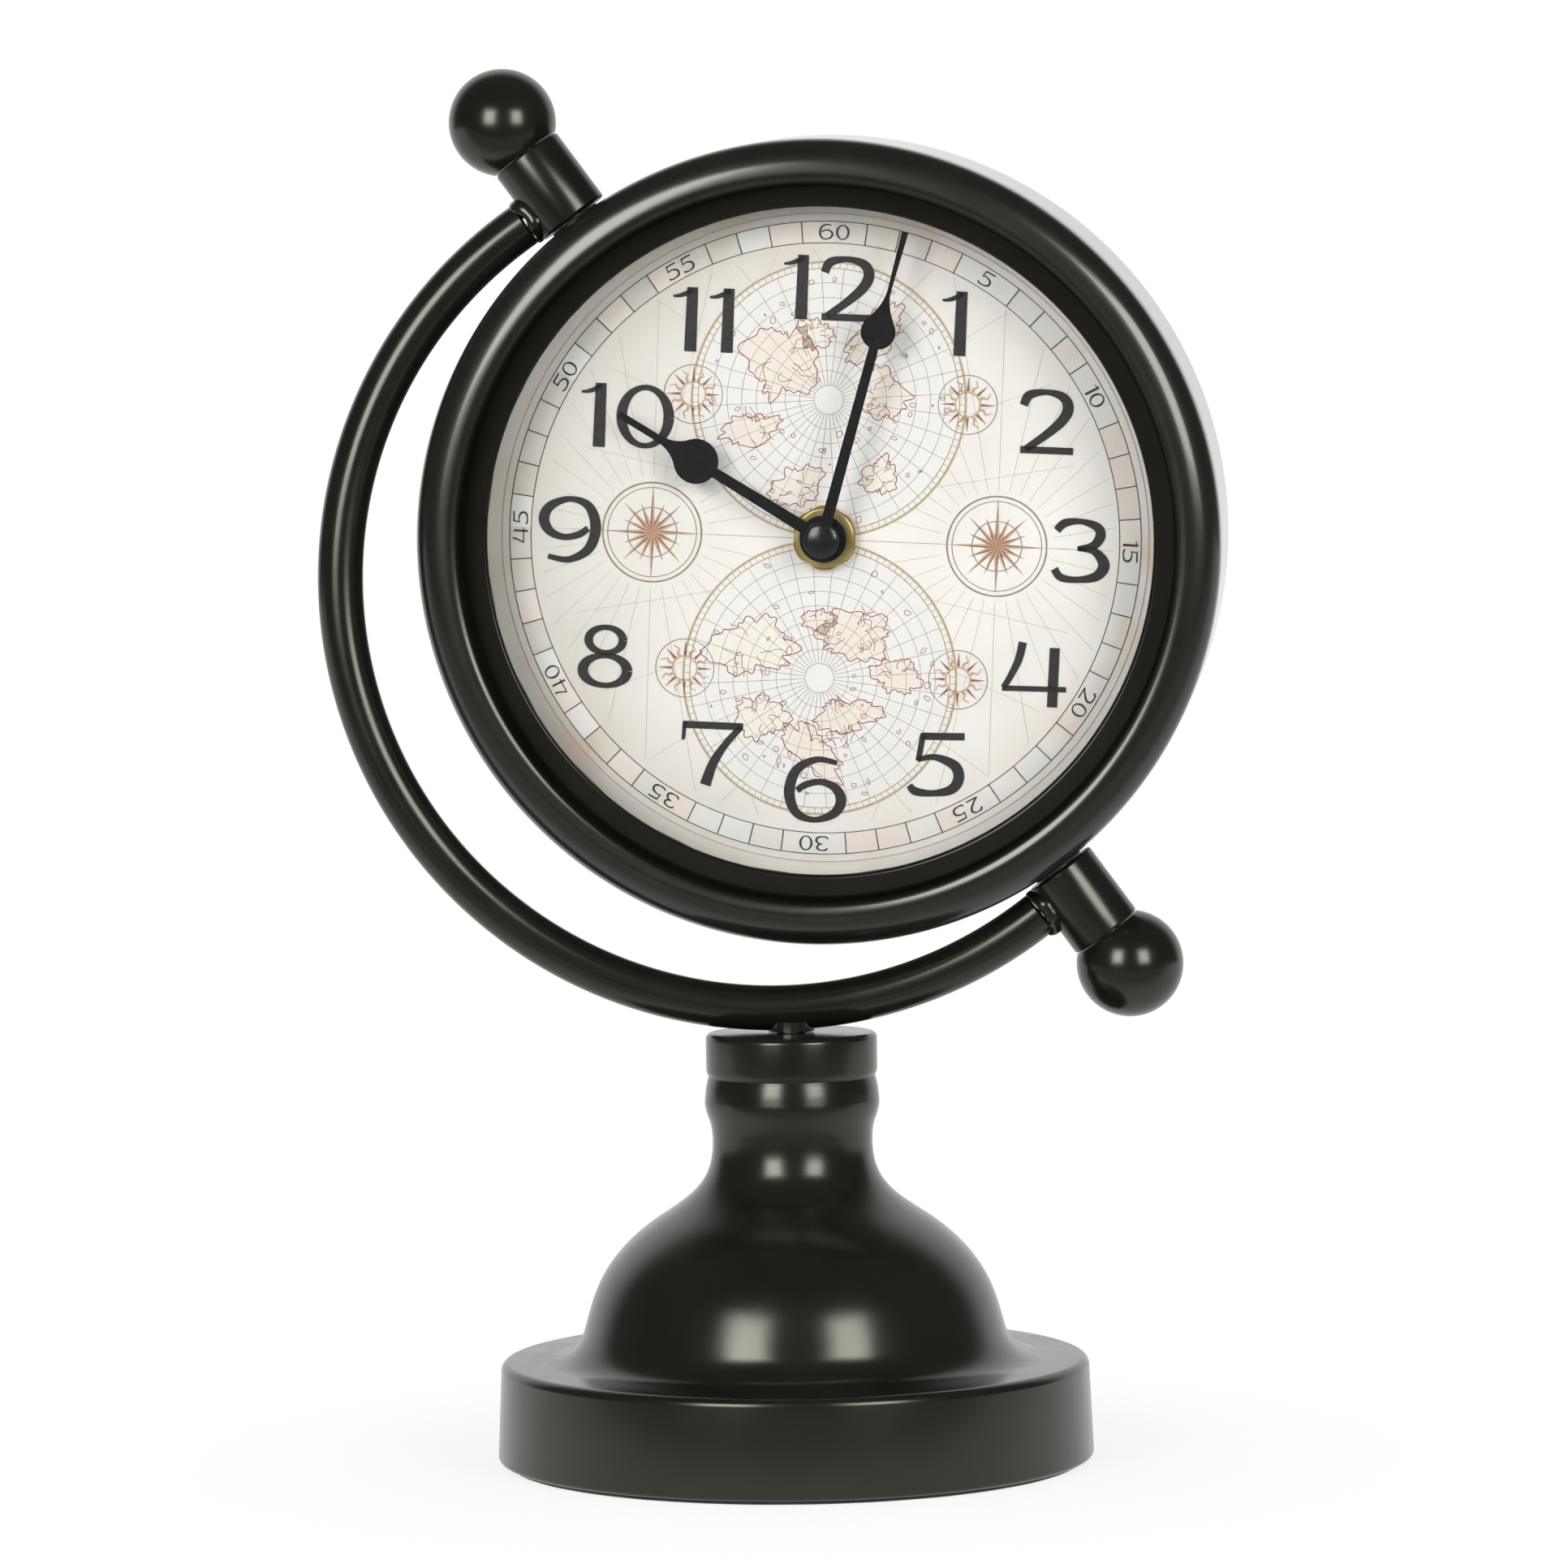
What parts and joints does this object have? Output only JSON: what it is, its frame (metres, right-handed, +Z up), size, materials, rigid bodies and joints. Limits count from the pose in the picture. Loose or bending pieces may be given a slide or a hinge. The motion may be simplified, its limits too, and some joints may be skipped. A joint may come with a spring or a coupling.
{
  "type": "desk clock",
  "caption": "Round desk clock whose case spins on a tilted axle like a globe, held by a bent tube arm on a spun metal pedestal, with hour and minute hands behind glass.",
  "frame": {"origin": "centre of the felt pad's underside, on the pedestal's axis, where the clock stands", "axes": "+Z up along the pedestal, -Y towards the viewer of the dial, +X to the viewer's right"},
  "size_m": [0.1914, 0.1254, 0.2927],
  "materials": {
    "black_paint": "satin near-black paint on steel and cast metal",
    "hand_black": "semi-matt black lacquer on stamped sheet",
    "dial_paper": "printed cream paper on a thin metal disc",
    "clear_glass": "flat clear glass",
    "black_rubber": "matt",
    "black_plastic": "fine moulded texture",
    "white_plastic": "moulded acetal",
    "zinc_steel": "zinc-plated",
    "brass": "turned and polished",
    "copper_wire": "enamelled copper winding",
    "circuit_board": "lacquered board",
    "cell_wrap": "plain printed sleeve without words",
    "fibre": "pressed fibre",
    "felt": "dense felt"
  },
  "bodies": {
    "stand": {"felt_pad": "felt", "base_plate": "zinc_steel", "pedestal": "black_paint", "tie_rod_washer": "zinc_steel", "tie_rod_nut": "zinc_steel", "tie_rod": "black_paint", "arm_tube": "black_paint", "upper_sleeve": "black_paint", "lower_sleeve": "black_paint"},
    "case": {"bezel": "black_paint", "drum_shell": "black_paint", "glass_gasket": "black_rubber", "glass": "clear_glass", "spacer_ring": "black_plastic", "dial_plate": "dial_paper", "retaining_wire": "zinc_steel", "back_cover": "black_paint", "back_screw_1": "zinc_steel", "back_screw_2": "zinc_steel", "back_screw_3": "zinc_steel", "back_screw_4": "zinc_steel", "upper_axle_bolt": "zinc_steel", "upper_axle_nut": "zinc_steel", "upper_friction_washer": "fibre", "upper_knob": "black_paint", "lower_axle_bolt": "zinc_steel", "lower_axle_nut": "zinc_steel", "lower_friction_washer": "fibre", "lower_knob": "black_paint", "movement_case": "black_plastic", "movement_cover": "black_plastic", "works_plate": "white_plastic", "drive_coil": "copper_wire", "circuit_board": "circuit_board", "battery": "cell_wrap", "contact_spring": "zinc_steel", "contact_plate": "zinc_steel", "dial_washer": "brass", "dial_nut": "brass"},
    "minute": {"minute_arbor": "brass", "minute_hand": "hand_black", "hand_cap": "hand_black"},
    "hour": {"hour_wheel": "white_plastic", "hour_hand": "hand_black"},
    "motion": {"motion_wheel": "white_plastic"},
    "setting": {"set_knob": "black_plastic"}
  },
  "joints": [
    {"name": "case_spin", "type": "hinge", "parent": "stand", "child": "case", "pos_m": [0.0066, 0, 0.19289], "axis": [-0.5892, 0, 0.808], "continuous": true},
    {"name": "minute_turn", "type": "hinge", "parent": "case", "child": "minute", "pos_m": [0.00756, -0.00012, 0.19359], "axis": [0.0817, 0.9949, 0.0595], "continuous": true},
    {"name": "hour_turn", "type": "hinge", "parent": "case", "child": "hour", "pos_m": [0.00756, -0.00012, 0.19359], "axis": [0.0817, 0.9949, 0.0595], "continuous": true},
    {"name": "motion_turn", "type": "hinge", "parent": "case", "child": "motion", "pos_m": [-0.00033, 0.00016, 0.19973], "axis": [0.0817, 0.9949, 0.0595], "continuous": true},
    {"name": "set_turn", "type": "hinge", "parent": "case", "child": "setting", "pos_m": [-0.0033, -0.00017, 0.20927], "axis": [0.0817, 0.9949, 0.0595], "continuous": true}
  ],
  "couplings": [
    {"joint": "hour_turn", "follows": "minute_turn", "ratio": 0.083333},
    {"joint": "motion_turn", "follows": "minute_turn", "ratio": -0.33333},
    {"joint": "set_turn", "follows": "minute_turn", "ratio": 1}
  ]
}
